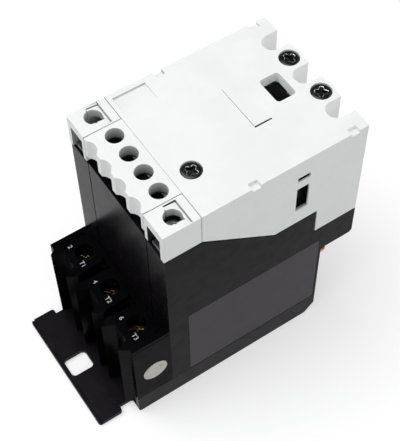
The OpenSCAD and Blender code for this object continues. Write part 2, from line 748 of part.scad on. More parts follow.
// Contact bridge with its two buttons underneath and a seat for its spring
module contact_bridge(i) {
    color("#c07a45") translate([pole_x(i), mid_y, bridge_z]) {
        block([-bridge_w / 2, -bridge_span / 2 - 3, 0], [bridge_w / 2, bridge_span / 2 + 3, bridge_t]);
        for (s = [-1, 1]) rod(0, s * bridge_span / 2, -button_h, button_r, button_h + eps);
        rod(0, 0, bridge_t - eps, 1.1, 1);
    }
}

module contact_spring(i) {
    color("#b9bcc0") translate([pole_x(i), mid_y, bridge_z + bridge_t + fit])
        coil_spring(1.6, 0.3, 6, comb_window_h - bridge_t - 2 * fit);
}

module button(y) {
    rod(0, y, contact_z + bar_t - eps, button_r, button_h + eps);
}

// Line contact: plug blade, riser along the back wall and a bar to the contact point
module line_contact(i) {
    blade_y = body_d + 9.7;
    back = inner_back - seat;
    w = bar_w / 2;
    color("#b5713c") translate([pole_x(i), 0, 0]) {
        block([-w, back - bar_t, bar_z], [w, blade_y - w / 2, bar_z + bar_t]);
        translate([0, 0, bar_z]) linear_extrude(bar_t) round_rect([-w, body_d], [w, blade_y], w / 2);
        block([-w, back - bar_t, bar_z], [w, back, contact_z + bar_t]);
        block([-w, mid_y + band_half + 0.4, contact_z], [w, back, contact_z + bar_t]);
        button(mid_y + bridge_span / 2);
    }
}

// Load contact: a tongue in the terminal clamp, riser and a bar to the contact point
module load_contact(i) {
    front = inner_front + seat;
    w = bar_w / 2;
    color("#b5713c") translate([pole_x(i), 0, 0]) {
        block([-w, clamp_y - clamp_half_d + 1, bar_z], [w, front + bar_t, bar_z + bar_t]);
        block([-w, front, bar_z], [w, front + bar_t, contact_z + bar_t]);
        block([-w, front, contact_z], [w, mid_y - band_half - 0.4, contact_z + bar_t]);
        button(mid_y - bridge_span / 2);
    }
}

// Steel splitter plates above the ends of each bridge
module arc_splitters() {
    outer = inner_half - pole_pitch / 2 - partition_t / 2 - 2 * seat;
    inner = pole_pitch - partition_t - 2 * seat;
    color("#7f8286") for (i = [1:3], k = [0:splitters - 1]) {
        w = i == 2 ? inner : min(outer, inner);
        x = i == 2 ? -w / 2 : i == 1 ? -pole_pitch / 2 - partition_t / 2 - seat - w
            : pole_pitch / 2 + partition_t / 2 + seat;
        z = splitter_z + k * splitter_pitch;
        block([x, inner_front + seat, z], [x + w, inner_front + seat + splitter_l, z + splitter_t]);
        block([x, inner_back - seat - splitter_l, z], [x + w, inner_back - seat, z + splitter_t]);
    }
}

// Lid of the contact chamber: it carries the post of the front cover screw
module arc_chamber_cover() {
    color("#232224") difference() {
        union() {
            block([-inner_half + seat, inner_front + seat, arc_cover_z],
                [inner_half - seat, inner_back - seat, arc_cover_z + arc_cover_t]);
            rod(screw_front[0], screw_front[1], arc_cover_z, front_post_r, post_top - arc_cover_z);
        }
        block([-stem_half - room, mid_y - stem_half_d - room, arc_cover_z - 1],
            [stem_half + room, mid_y + stem_half_d + room, arc_cover_z + arc_cover_t + 1]);
        rod(screw_front[0], screw_front[1], post_top - cover_screw_l, cover_shank_r + fit, cover_screw_l + 1);
        for (s = [-1, 1]) rod(s * lead_x, lead_y, arc_cover_z - 1, lead_r + 0.3, arc_cover_t + 2);
    }
}

// Clamp cage: the screw lifts it and the wire is held under the copper tongue
module terminal_clamp(i) {
    color("#9fa2a4") translate([pole_x(i), clamp_y, clamp_rest_z]) difference() {
        block([-clamp_half_w, -clamp_half_d, 0], [clamp_half_w, clamp_half_d, clamp_h]);
        block([-clamp_half_w + clamp_wall, -clamp_half_d - 1, clamp_floor_t],
            [clamp_half_w - clamp_wall, clamp_half_d + 1, clamp_h - clamp_top_t]);
        rod(0, 0, clamp_h - clamp_top_t - 1, screw_shank_r + fit, clamp_top_t + 2);
    }
}

// Slotted and cross-recessed terminal screw that bears on the copper tongue
module terminal_screw(i) {
    head_z0 = shoulder_z + fit;
    color("#c9a94e") translate([pole_x(i), clamp_y, 0]) difference() {
        union() {
            rod(0, 0, head_z0, screw_head_r, screw_head_h);
            rod(0, 0, bar_z + bar_t + fit, screw_shank_r, head_z0 - bar_z - bar_t);
        }
        block([-screw_head_r - 1, -0.5, head_z0 + screw_head_h - 1.2], [screw_head_r + 1, 0.5, head_z0 + 4]);
        block([-0.5, -0.55 * screw_head_r, head_z0 + screw_head_h - 1.2],
            [0.5, 0.55 * screw_head_r, head_z0 + 4]);
    }
}

// Threaded plate of a coil terminal, drawn for the right side, with a tail to the lead
module coil_terminal() {
    z0 = deck_z + fit;
    difference() {
        union() {
            block([coil_x - 3.1, 1, z0], [coil_x + 2.8, coil_y + 4.2, z0 + coil_plate_t]);
            rod(lead_x, tail_y, deck_z - tail_drop + fit, lead_r, tail_drop + 1);
        }
        rod(coil_x, coil_y, z0 - 1, coil_shank_r + fit, coil_plate_t + 2);
    }
}

module coil_terminal_left() {
    color("#b9a154") mirror([1, 0, 0]) coil_terminal();
}

module coil_terminal_right() {
    color("#b9a154") coil_terminal();
}

// Saddle washer that comes down with the coil screw and holds the wire
module coil_saddle(s) {
    z1 = coil_screw_top - coil_head_h - fit;
    color("#a8abad") difference() {
        block([s * coil_x - saddle_half + 0.2, coil_y - saddle_half, z1 - saddle_t],
            [s * coil_x + saddle_half - 0.2, coil_y + saddle_half, z1]);
        rod(s * coil_x, coil_y, z1 - saddle_t - 1, coil_shank_r + fit, saddle_t + 2);
    }
}

module coil_screw(s) {
    color("#6f7173") translate([s * coil_x, coil_y, coil_screw_top]) difference() {
        union() {
            rod(0, 0, -coil_head_h, coil_head_r, coil_head_h);
            rod(0, 0, coil_screw_z - coil_screw_top, coil_shank_r, coil_screw_top - coil_screw_z - 1);
        }
        block([-coil_head_r - 1, -0.4, -1.1], [coil_head_r + 1, 0.4, 1]);
        block([-0.4, -0.6 * coil_head_r, -1.1], [0.4, 0.6 * coil_head_r, 1]);
    }
}

base_tray();
main_housing();
terminal_block();
front_cover();
control_terminal_cover();
coil_cover_left();
coil_cover_right();
marker_plate();
cover_screws();
base_screws();
rating_label();
inspection_sticker();
core_cushion();
fixed_core();
shading_rings();
coil_bobbin();
coil_winding();
coil_leads();
armature();
armature_pins();
contact_carrier();
position_indicator();
return_springs();
contact_bridge(1);  // contact_bridge_1
contact_bridge(2);  // contact_bridge_2
contact_bridge(3);  // contact_bridge_3
contact_spring(1);  // contact_spring_1
contact_spring(2);  // contact_spring_2
contact_spring(3);  // contact_spring_3
line_contact(1);  // line_contact_1
line_contact(2);  // line_contact_2
line_contact(3);  // line_contact_3
load_contact(1);  // load_contact_1
load_contact(2);  // load_contact_2
load_contact(3);  // load_contact_3
arc_splitters();
arc_chamber_cover();
terminal_clamp(1);  // terminal_clamp_1
terminal_clamp(2);  // terminal_clamp_2
terminal_clamp(3);  // terminal_clamp_3
terminal_screw(1);  // terminal_screw_1
terminal_screw(2);  // terminal_screw_2
terminal_screw(3);  // terminal_screw_3
coil_terminal_left();
coil_terminal_right();
coil_saddle(-1);  // coil_saddle_left
coil_saddle(1);  // coil_saddle_right
coil_screw(-1);  // coil_screw_left
coil_screw(1);  // coil_screw_right
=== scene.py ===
import json
import math

import bmesh
import bpy
from mathutils import Matrix, Vector


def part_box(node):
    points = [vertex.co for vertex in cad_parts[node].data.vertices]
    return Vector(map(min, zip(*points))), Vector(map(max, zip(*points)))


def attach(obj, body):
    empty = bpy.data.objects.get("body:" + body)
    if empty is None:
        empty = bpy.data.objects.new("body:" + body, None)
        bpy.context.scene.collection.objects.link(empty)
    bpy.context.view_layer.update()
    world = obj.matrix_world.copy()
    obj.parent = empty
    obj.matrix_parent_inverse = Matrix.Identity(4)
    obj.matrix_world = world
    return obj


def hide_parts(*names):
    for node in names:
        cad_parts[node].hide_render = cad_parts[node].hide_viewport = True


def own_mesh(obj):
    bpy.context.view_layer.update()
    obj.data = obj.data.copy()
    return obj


# Magnetic motor starter: a black base with a white cover that plugs to a breaker.
# X runs across it, Y from the power terminals to the plug end, Z up from its mounting plane.
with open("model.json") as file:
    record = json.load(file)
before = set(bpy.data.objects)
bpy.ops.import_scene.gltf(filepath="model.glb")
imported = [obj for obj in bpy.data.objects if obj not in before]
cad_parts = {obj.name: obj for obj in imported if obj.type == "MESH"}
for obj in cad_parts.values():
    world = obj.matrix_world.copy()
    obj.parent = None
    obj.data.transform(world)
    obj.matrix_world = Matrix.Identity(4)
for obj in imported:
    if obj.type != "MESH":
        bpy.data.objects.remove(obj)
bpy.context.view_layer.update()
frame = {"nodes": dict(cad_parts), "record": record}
cad_node = frame["nodes"]
body_of = {node: body for body, nodes in frame["record"]["behaviour"]["bodies"].items()
           for node in nodes}
slot_of = {part["node"]: part["material_slot"] for part in frame["record"]["subparts"]}

MM = 0.001
HAIR = 1e-6  # two heights closer than this are the same
WELD = 0.002 * MM
FULL_TURN = 2 * math.pi
ROUND_ABOVE, SHADE_SHARP_ABOVE = math.radians(35), math.radians(38)
POLES = (1, 2, 3)

# The top face of the cover and what lies in it: centres as (x, y) in millimetres
TOP_MM = 95.6
DRIVER_HOLES_MM = [(-22.1, 6.6), (-12.225, 8.15), (-4.075, 8.15),
                   (4.075, 8.15), (12.225, 8.15), (22.1, 6.6)]
COVER_SCREWS_MM = [(11.2, 20.1), (8.3, 69.5), (-8.3, 69.5)]
WINDOW_MM = (-0.55, 59.45)


# ---- Colour and shader helpers ----

def srgb(code):
    """Linear red, green, blue and alpha of an sRGB hex colour."""
    parts = [int(code[i:i + 2], 16) / 255 for i in (1, 3, 5)]
    return (*(c / 12.92 if c <= 0.04045 else ((c + 0.055) / 1.055) ** 2.4 for c in parts), 1.0)


def add(tree, kind, inputs=(), **settings):
    """Adds a shader node; inputs pairs each socket with a value or with an output to link."""
    made = tree.nodes.new("ShaderNode" + kind)
    for name, value in settings.items():
        setattr(made, name, value)
    for socket, value in inputs:
        if isinstance(value, bpy.types.NodeSocket):
            tree.links.new(value, made.inputs[socket])
        else:
            made.inputs[socket].default_value = value
    return made


def start_material(name):
    """An empty node material and the Object coordinates it is patterned by."""
    material = bpy.data.materials.new(name)
    material.use_nodes = True
    material.node_tree.nodes.clear()
    place = add(material.node_tree, "TexCoord").outputs["Object"]
    return material, material.node_tree, place


def per_metre(size_mm):
    """Texture scale that makes one feature this many millimetres across."""
    return 1 / (size_mm * MM)


def noise(tree, place, scale, detail, roughness=0.5):
    """Cloudy noise between 0 and 1."""
    return add(tree, "TexNoise", [("Vector", place), ("Scale", scale), ("Detail", detail),
                                  ("Roughness", roughness)]).outputs[0]


def spread(tree, value, low, high, to_low=0.0, to_high=1.0):
    """The value stretched so that low gives to_low and high gives to_high, held beyond them."""
    return add(tree, "MapRange", [("Value", value), ("From Min", low), ("From Max", high),
                                  ("To Min", to_low), ("To Max", to_high)]).outputs[0]


def combined(tree, operation, first, second):
    """Two values put together, such as by MULTIPLY or MAXIMUM."""
    return add(tree, "Math", [(0, first), (1, second)], operation=operation).outputs[0]


def mixed(tree, share, first, second):
    """The colour that goes from the first to the second as the share goes from 0 to 1."""
    return add(tree, "Mix", [(0, share), (6, first), (7, second)], data_type="RGBA").outputs[2]


def marked(tree, attribute):
    """How strongly a face carries one of the marks that are set where pieces are made."""
    return add(tree, "Attribute", attribute_name=attribute).outputs["Fac"]


def close_surface(tree, inputs, height, strength, height_mm):
    """Ends a material: the shader with these inputs and a relief this many millimetres high."""
    relief = add(tree, "Bump", [("Strength", strength), ("Distance", height_mm * MM),
                                ("Height", height)])
    shader = add(tree, "BsdfPrincipled", [*inputs, ("Normal", relief.outputs[0])])
    add(tree, "OutputMaterial", [("Surface", shader.outputs[0])])


# ---- Finishes ----

# Tones painted on walls: painted shade down driver holes, grey and then near-black, painted shade
# in joints and painted light on channel walls; and the heights between which the driver holes'
# painted shade grows and then goes dark
HOLE_PAINTED_SHADE, HOLE_DEPTH, CHANNEL_PAINTED_LIGHT, JOINT_PAINTED_SHADE = "#8e8f90", "#08080a", "#fafbfa", "#626364"
HOLE_SHADE_FROM, HOLE_SHADE_FULL, HOLE_SHADE_AT_MOUTH = (TOP_MM - 0.3) * MM, (TOP_MM - 4.5) * MM, 0.35
DARK_FROM, DARK_FULL, DARK_SHARE = (TOP_MM - 4.0) * MM, (TOP_MM - 4.6) * MM, 0.94
EDGE_PATCH_MM = 3.5


def moulded_plastic(name, dark, light, rubbed_and_highlight, mottle_mm, grain_mm, grain_height_mm, roughness,
                    ior=1.5, specular=0.5, sheen="#ffffff"):
    """Moulded plastic: cloudy colour from the flow of the melt, the fine pits that the mould's
    spark-eroded face leaves, and a lighter tone on rounded edges, partly wear and partly painted
    highlight.
    Driver holes take a painted shade that goes near-black at their bottom, joints and shallow
    steps take a painted shade, and the walls of the window and the deep channels take a painted
    light."""
    material, tree, place = start_material(name)
    cloud = noise(tree, place, per_metre(mottle_mm), 4.0, 0.62)
    pits = noise(tree, place, per_metre(grain_mm), 2.0)
    patchy = noise(tree, place, per_metre(EDGE_PATCH_MM), 3.0)
    height = add(tree, "SeparateXYZ", [("Vector", place)]).outputs["Z"]
    hole = marked(tree, "driver_hole")
    # Edge tone on rounded faces, in patches: partly wear, partly painted highlight
    wear_and_highlight = spread(tree, patchy, 0.35, 0.7, to_high=0.75)
    # Painted shade: driver hole walls go grey from the mouth down and near-black at their bottom,
    # set by height alone
    hole_shade = spread(tree, height, HOLE_SHADE_FROM, HOLE_SHADE_FULL, to_low=HOLE_SHADE_AT_MOUTH)
    unlit = spread(tree, height, DARK_FROM, DARK_FULL, to_high=DARK_SHARE)
    round_hole = spread(tree, hole, 0.9, 1.0)
    colour = mixed(tree, spread(tree, cloud, 0.36, 0.66), srgb(dark), srgb(light))
    for share, tone in ((combined(tree, "MULTIPLY", marked(tree, "rubbed_and_highlight"), wear_and_highlight), rubbed_and_highlight),
                        (combined(tree, "MULTIPLY", hole_shade, hole), HOLE_PAINTED_SHADE),
                        (combined(tree, "MULTIPLY", unlit, round_hole), HOLE_DEPTH),
                        (marked(tree, "painted_light_wall"), CHANNEL_PAINTED_LIGHT),
                        (marked(tree, "painted_shade_joint"), JOINT_PAINTED_SHADE)):
        colour = mixed(tree, share, colour, srgb(tone))
    gloss = spread(tree, cloud, 0.3, 0.7, *roughness)
    film = spread(tree, patchy, 0.3, 0.7, specular * 0.8, specular * 1.15)
    close_surface(tree, [("Base Color", colour), ("Roughness", gloss), ("IOR", ior),
                         ("Specular IOR Level", film), ("Specular Tint", srgb(sheen))],
                  pits, 0.6, grain_height_mm)
    return material


def worked_metal(name, clean, stained, stain_mm, streak_mm, streak_along, roughness,
                 metallic=1.0, coat=0.0, bare_and_glint="#b9bbbe"):
    """Metal with the fine drag lines of its rolling or turning and a patchy stain on top.
    Faces marked as rubbed_and_highlight show the bare_and_glint tone in patches: bare worn metal,
    partly a painted glint."""
    material, tree, place = start_material(name)
    stretch = [per_metre(streak_mm)] * 3
    stretch["XYZ".index(streak_along)] /= 40
    drawn_out = add(tree, "Mapping", [("Vector", place), ("Scale", stretch)]).outputs[0]
    lines = noise(tree, drawn_out, 1.0, 3.0)
    patches = noise(tree, place, per_metre(stain_mm), 5.0, 0.65)
    stain = spread(tree, patches, 0.42, 0.68, to_high=0.6)
    bare_patch_mask = spread(tree, patches, 0.44, 0.54)
    wear_and_highlight = combined(tree, "MULTIPLY", marked(tree, "rubbed_and_highlight"), bare_patch_mask)
    colour = mixed(tree, stain, srgb(clean), srgb(stained))
    colour = mixed(tree, wear_and_highlight, colour, srgb(bare_and_glint))
    metal = combined(tree, "MAXIMUM", wear_and_highlight, metallic)
    polish = spread(tree, lines, 0.3, 0.7, *roughness)
    close_surface(tree, [("Base Color", colour), ("Metallic", metal), ("Roughness", polish),
                         ("Coat Weight", coat), ("Coat Roughness", 0.1)], lines, 0.4, 0.01)
    return material


def banded_stack(name, face, gap, pitch_mm, across, gap_share, roughness, metallic, height_mm):
    """Sheets or wires side by side: a dark line between each two, worked from their pitch."""
    material, tree, place = start_material(name)
    bands = add(tree, "TexWave", [("Vector", place), ("Scale", per_metre(pitch_mm) * math.pi / 10),
                                  ("Distortion", 0.0)],
                wave_type="BANDS", bands_direction=across).outputs["Fac"]
    smudge = noise(tree, place, per_metre(4), 4.0)
    soiled = mixed(tree, smudge, srgb(face), srgb(gap))
    colour = mixed(tree, 0.35, srgb(face), soiled)
    colour = mixed(tree, spread(tree, bands, gap_share, 0.0), colour, srgb(gap))
    dull = spread(tree, smudge, 0.0, 1.0, *roughness)
    close_surface(tree, [("Base Color", colour), ("Metallic", metallic), ("Roughness", dull)],
                  bands, 0.7, height_mm)
    return material


def satin_film():
    """Polycarbonate label film, screen-printed a flat dark grey: smoother and a shade paler
    than the moulding round it, with the slight ripple of a film on its adhesive."""
    material, tree, place = start_material("label_film_bare")
    ripple = noise(tree, place, per_metre(6), 2.0)
    dust = noise(tree, place, per_metre(0.5), 4.0, 0.7)
    haze = spread(tree, dust, 0.5, 0.75, to_high=0.35)
    colour = mixed(tree, haze, srgb("#221d23"), srgb("#2e2930"))
    gloss = spread(tree, ripple, 0.0, 1.0, 0.3, 0.42)
    close_surface(tree, [("Base Color", colour), ("Roughness", gloss), ("IOR", 1.5),
                         ("Specular IOR Level", 0.17)], ripple, 0.3, 0.05)
    return material


def pale_paper():
    """Uncoated label paper, bare: matt, off-white, with short fibres and a little grime."""
    material, tree, place = start_material("sticker_paper_bare")
    laid = add(tree, "Mapping", [("Vector", place), ("Scale", (per_metre(0.5), per_metre(0.5),
                                                              per_metre(0.12)))]).outputs[0]
    fibre = noise(tree, laid, 1.0, 3.0)
    grime = noise(tree, place, per_metre(2.5), 4.0)
    spots = spread(tree, grime, 0.45, 0.75, to_high=0.5)
    colour = mixed(tree, fibre, srgb("#c6c5bf"), srgb("#d1d0ca"))
    colour = mixed(tree, spots, colour, srgb("#a09f99"))
    close_surface(tree, [("Base Color", colour), ("Roughness", 0.72), ("IOR", 1.5)],
                  fibre, 0.3, 0.02)
    return material


def stamped_ink():
    """White hot-stamping foil on black plastic: thin, so the black speckles through it."""
    material, tree, place = start_material("white_marking_ink")
    thin = spread(tree, noise(tree, place, per_metre(0.25), 3.0), 0.55, 0.75, to_high=0.6)
    colour = mixed(tree, thin, srgb("#c9c7cc"), srgb("#3a383c"))
    shader = add(tree, "BsdfPrincipled", [("Base Color", colour), ("Roughness", 0.5)])
    add(tree, "OutputMaterial", [("Surface", shader.outputs[0])])
    return material


# Each plastic's fourth tone goes on its rounded edges: partly wear, partly painted highlight
BLACK_THERMOSET = moulded_plastic(
    "black_thermoset", "#0b0a0c", "#110f12", "#2b282d", mottle_mm=14, grain_mm=0.35,
    grain_height_mm=0.006, roughness=(0.22, 0.28), specular=0.041, sheen="#f0eef8")
TRAY_THERMOSET = moulded_plastic(
    "tray_thermoset", "#0f0d10", "#151317", "#4d494e", mottle_mm=10, grain_mm=0.35,
    grain_height_mm=0.015, roughness=(0.3, 0.38), specular=0.072, sheen="#f0eef8")
BLOCK_THERMOSET = moulded_plastic(
    "block_thermoset", "#050506", "#0a090b", "#3f3b41", mottle_mm=10, grain_mm=0.3,
    grain_height_mm=0.005, roughness=(0.15, 0.2), specular=0.018, sheen="#f0eef8")
WHITE_THERMOPLASTIC = moulded_plastic(
    "white_thermoplastic", "#e8eae9", "#edeeed", "#f2f3f2", mottle_mm=18, grain_mm=0.4,
    grain_height_mm=0.01, roughness=(0.42, 0.52))
BROWN_THERMOSET = moulded_plastic(
    "brown_thermoset", "#382e30", "#45383a", "#5b4c4d", mottle_mm=6, grain_mm=0.3,
    grain_height_mm=0.02, roughness=(0.45, 0.55))
NATURAL_NYLON = moulded_plastic(
    "natural_nylon", "#d3cbb4", "#ddd6c2", "#e4decd", mottle_mm=5, grain_mm=0.25,
    grain_height_mm=0.02, roughness=(0.4, 0.5), ior=1.53)
SMOOTH_BLACK = moulded_plastic(
    "smooth_black_plastic", "#060607", "#0a0a0c", "#1c1b1d", mottle_mm=5, grain_mm=0.5,
    grain_height_mm=0.01, roughness=(0.3, 0.4), specular=0.08)
CUSHION_RUBBER = moulded_plastic(
    "cushion_rubber", "#161616", "#1f1f1f", "#2c2c2c", mottle_mm=4, grain_mm=0.4,
    grain_height_mm=0.05, roughness=(0.7, 0.85), ior=1.52)
LEAD_SLEEVE = moulded_plastic(
    "lead_sleeve", "#6d1f1c", "#7c2621", "#8f3a33", mottle_mm=3, grain_mm=0.3,
    grain_height_mm=0.01, roughness=(0.35, 0.45))
# The bright bare tone on each recess mouth: worn steel, partly a painted glint
BLACK_OXIDE = worked_metal(
    "black_oxide_steel", "#0e0f11", "#050506", stain_mm=0.8, streak_mm=0.15, streak_along="X",
    roughness=(0.2, 0.3), metallic=0.3, coat=0.3, bare_and_glint="#f2f3f4")
ZINC_PLATE = worked_metal(
    "zinc_plate", "#b6b8bb", "#85878a", stain_mm=2.5, streak_mm=0.2, streak_along="Y",
    roughness=(0.28, 0.42))
SCREW_STEEL = worked_metal(
    "dull_screw_steel", "#96989b", "#5c5d5f", stain_mm=1.2, streak_mm=0.15, streak_along="X",
    roughness=(0.26, 0.4))
SPRING_WIRE = worked_metal(
    "spring_wire", "#a5a8ad", "#6f7378", stain_mm=1.5, streak_mm=0.1, streak_along="Z",
    roughness=(0.25, 0.35))
# Base tones darkened well below clean brass: partly stain, partly painted shade for heads deep in
# the tower holes
BRASS = worked_metal(
    "passivated_brass", "#54462b", "#241d13", stain_mm=0.9, streak_mm=0.15, streak_along="X",
    roughness=(0.16, 0.28), bare_and_glint="#96875f")
COPPER = worked_metal(
    "rolled_copper", "#d2834f", "#94522f", stain_mm=3, streak_mm=0.2, streak_along="Y",
    roughness=(0.28, 0.42), bare_and_glint="#d99166")
LAMINATIONS = banded_stack(
    "lamination_stack", "#7d8185", "#3c3d3f", pitch_mm=0.5, across="Y", gap_share=0.25,
    roughness=(0.35, 0.5), metallic=1.0, height_mm=0.05)
ENAMEL_WIRE = banded_stack(
    "enamel_wire", "#8f4321", "#33130a", pitch_mm=0.4, across="Z", gap_share=0.3,
    roughness=(0.25, 0.4), metallic=0.0, height_mm=0.08)
LABEL_FILM = satin_film()
STICKER_PAPER = pale_paper()
MARKING_INK = stamped_ink()


# ---- Making pieces ----

def make_piece(name, mesh, material, body, replaces=(), smooth=True):
    """Shows a finished bmesh as one piece, in this material, that rides a body."""
    data = bpy.data.meshes.new(name)
    mesh.to_mesh(data)
    mesh.free()
    data.materials.append(material)
    made = bpy.data.objects.new(name, data)
    bpy.context.scene.collection.objects.link(made)
    if smooth:
        data.shade_smooth()
        data.set_sharp_from_angle(angle=SHADE_SHARP_ABOVE)
        weigh = made.modifiers.new("even_shading", "WEIGHTED_NORMAL")
        weigh.keep_sharp = True
    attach(made, body)
    if replaces:
        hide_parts(*replaces)
    return made


def stand_for(node, mesh, material, name=None):
    """Shows a finished bmesh in place of a CAD node, on the same body."""
    return make_piece(name or node + "_detail", mesh, material, body_of[node],
                      [node])


def merged_copy(node):
    """A CAD node's mesh as a bmesh with its loose triangles joined and flats made whole."""
    mesh = bmesh.new()
    mesh.from_mesh(cad_node[node].data)
    bmesh.ops.remove_doubles(mesh, verts=mesh.verts, dist=WELD)
    bmesh.ops.dissolve_degenerate(mesh, edges=mesh.edges, dist=WELD)
    bmesh.ops.dissolve_limit(mesh, angle_limit=math.radians(0.3), verts=mesh.verts,
                             edges=mesh.edges, use_dissolve_boundaries=False)
    return mesh


def bevelled(mesh, edges, offset, segments=2):
    """Rounds these edges and gives back the faces this makes."""
    return bmesh.ops.bevel(mesh, geom=edges, offset=offset, offset_type="OFFSET",
                           segments=segments, profile=0.5, affect="EDGES", clamp_overlap=True,
                           material=-1)["faces"]


def verts_of(geom):
    """The vertices among the mixed parts that a mesh operator gives back."""
    return [part for part in geom if isinstance(part, bmesh.types.BMVert)]


def edges_of(geom):
    """The edges among the mixed parts that a mesh operator gives back."""
    return [part for part in geom if isinstance(part, bmesh.types.BMEdge)]


# The marker plate closes without a line on two of its sides: axis, way out and where each begins
PLATE_MM = ((-9.5, 8.9), (44.5, 50.9), (94.0, 96.0))
TIGHT_SIDES_MM = ((0, -1, -9.0), (1, 1, 50.5))
SEAT_MM = 0.1


def on_side(spot, side):
    """True beyond the line, in millimetres, where a side of the marker plate begins."""
    axis, outward, begins = side
    return (spot[axis] - begins) * outward > 0


def closes_tight(edge):
    """True along the two sides of the marker plate where it meets the cover without a line."""
    spot = (edge.verts[0].co + edge.verts[1].co) / 2 / MM
    return all(low < at < high for at, (low, high) in zip(spot, PLATE_MM)) and any(
        on_side(spot, side) for side in TIGHT_SIDES_MM)


def press_home(mesh):
    """Moves the two sides of the marker plate that close tight against the cover."""
    for side in TIGHT_SIDES_MM:
        shift = Vector((0, 0, 0))
        shift[side[0]] = side[1] * SEAT_MM * MM
        moved = [v for v in mesh.verts if on_side(v.co / MM, side)]
        bmesh.ops.translate(mesh, vec=shift, verts=moved)


def near(spot, places_mm, reach_mm):
    """True where a spot lies within reach of one of these places in the top."""
    return any(math.hypot(spot.x - x, spot.y - y) < reach_mm for x, y in places_mm)


# Where the marked walls lie: how deep or high, how far out from the middle and how far back
SHALLOW_MM, CHANNEL_LOW_MM = 1.7, 70
COVER_HALF_MM, CHANNEL_HALF_MM, CONTROL_HALF_MM = 26.5, 25.5, 20
COVER_FRONT_MM, STRIP_END_MM, PLATE_START_MM, CHANNELS_START_MM = 0.5, 16, 44, 55
STRIP_JOINT_MM, STRIP_JOINT_WIDTH_MM, STRIP_JOINT_END_MM = 16.7, 0.6, 14
HOLE_REACH_MM, SCREW_REACH_MM, RECESS_REACH_MM = 4.0, 4.0, 5.0
# How much of its painted shade each takes, where it isn't all of it
COIL_HOLE_SHARE, STEP_SHARE, RIM_SHARE = 0.8, 0.4, 0.7


def mark_walls(mesh, layers):
    """Marks steep walls by how much of their own painted tone they take: painted shade on those of
    driver holes and of the joints and shallow steps in the top, and painted light on those of the
    window and the channels at the back."""
    for face in mesh.faces:
        if abs(face.normal.z) > 0.3:
            continue
        spot = face.calc_center_median() / MM
        out = abs(spot.x)
        if near(spot, DRIVER_HOLES_MM, HOLE_REACH_MM):
            face[layers["driver_hole"]] = 1.0 if out < CONTROL_HALF_MM else COIL_HOLE_SHARE
        elif (spot.z > TOP_MM - SHALLOW_MM and out < COVER_HALF_MM
              and COVER_FRONT_MM < spot.y < CHANNELS_START_MM
              and not near(spot, [*COVER_SCREWS_MM, WINDOW_MM], RECESS_REACH_MM)):
            # Painted shade: walls of the joints and shallow steps in the top take a darker tone
            if spot.y < STRIP_END_MM or spot.y > PLATE_START_MM:
                face[layers["painted_shade_joint"]] = 1.0
            elif spot.x < 0:
                face[layers["painted_shade_joint"]] = STEP_SHARE
        # Painted light: walls of the window and the channels at the back take a lighter tone
        elif (spot.z > CHANNEL_LOW_MM and out < CHANNEL_HALF_MM and spot.y > CHANNELS_START_MM
              and not near(spot, COVER_SCREWS_MM, SCREW_REACH_MM)):
            face[layers["painted_light_wall"]] = 1.0


def round_edges(mesh, radius):
    """Rounds each edge that turns enough and marks what this makes for the edge tone, partly wear
    and partly painted highlight.
    The rounded rims of the joints beside the four driver holes take some of the joints' painted
    shade."""
    layers = {name: mesh.faces.layers.float.new(name)
              for name in ("rubbed_and_highlight", "driver_hole", "painted_shade_joint", "painted_light_wall")}
    mark_walls(mesh, layers)
    sharp = [e for e in mesh.edges
             if len(e.link_faces) == 2 and e.calc_face_angle(0) > ROUND_ABOVE
             and not closes_tight(e)]
    for face in bevelled(mesh, sharp, radius):
        face[layers["rubbed_and_highlight"]] = 1.0
        spot = face.calc_center_median() / MM
        # Painted shade: the rounded rims of the strip's joints take part of the joints' darker
        # tone
        if (spot.z > TOP_MM - 1 and spot.y < STRIP_JOINT_END_MM
                and abs(abs(spot.x) - STRIP_JOINT_MM) < STRIP_JOINT_WIDTH_MM):
            face[layers["painted_shade_joint"]] = RIM_SHARE
    return mesh


def rounded_copy(node, name, material, radius):
    """A CAD node as it is made: the same walls with their edges rounded."""
    mesh = merged_copy(node)
    if node == "marker_plate":
        press_home(mesh)
    return stand_for(node, round_edges(mesh, radius), material, name)


def repeated(one, places):
    """A bmesh copied to each place, a matrix, and joined in one bmesh."""
    pattern = bpy.data.meshes.new("pattern")
    one.to_mesh(pattern)
    one.free()
    many = bmesh.new()
    for place in places:
        known = len(many.verts)
        many.from_mesh(pattern)
        many.verts.ensure_lookup_table()
        bmesh.ops.transform(many, matrix=place, verts=many.verts[known:])
    bpy.data.meshes.remove(pattern)
    return many


def at_mm(x, y, z):
    """The place at these coordinates in millimetres."""
    return Matrix.Translation((x * MM, y * MM, z * MM))


def over_middle(low, high, z):
    """The place at this height over the middle of a box."""
    return Matrix.Translation(((low.x + high.x) / 2, (low.y + high.y) / 2, z))


def turn_by(angle):
    """A turn round Z, in radians."""
    return Matrix.Rotation(angle, 4, "Z")


# ---- Camera, floor and light ----

CAMERA_AT = (0.18186, -0.08645, 0.36293)
CAMERA_AZIMUTH, CAMERA_ELEVATION, CAMERA_ROLL = (math.radians(a) for a in (57.39, 55.57, -1.16))
SENSOR_MM, LENS_MM = 36, 93.7502
FLOOR_GLOW, FLOOR_DROP = 0.44, 0.2 * MM
LAMPS = (  # name, size in metres, watts, place
    ("soft_box_high", 0.8, 5.9, (-0.18, -0.21, 0.8)),
    ("soft_box_low", 0.6, 1.35, (0.6, 0.0, 0.6)),
    ("soft_box_rear", 0.5, 1.0, (0.15, 0.6, 0.4)))
LAMPS_FACE = Vector((0, 0.02, 0.05))


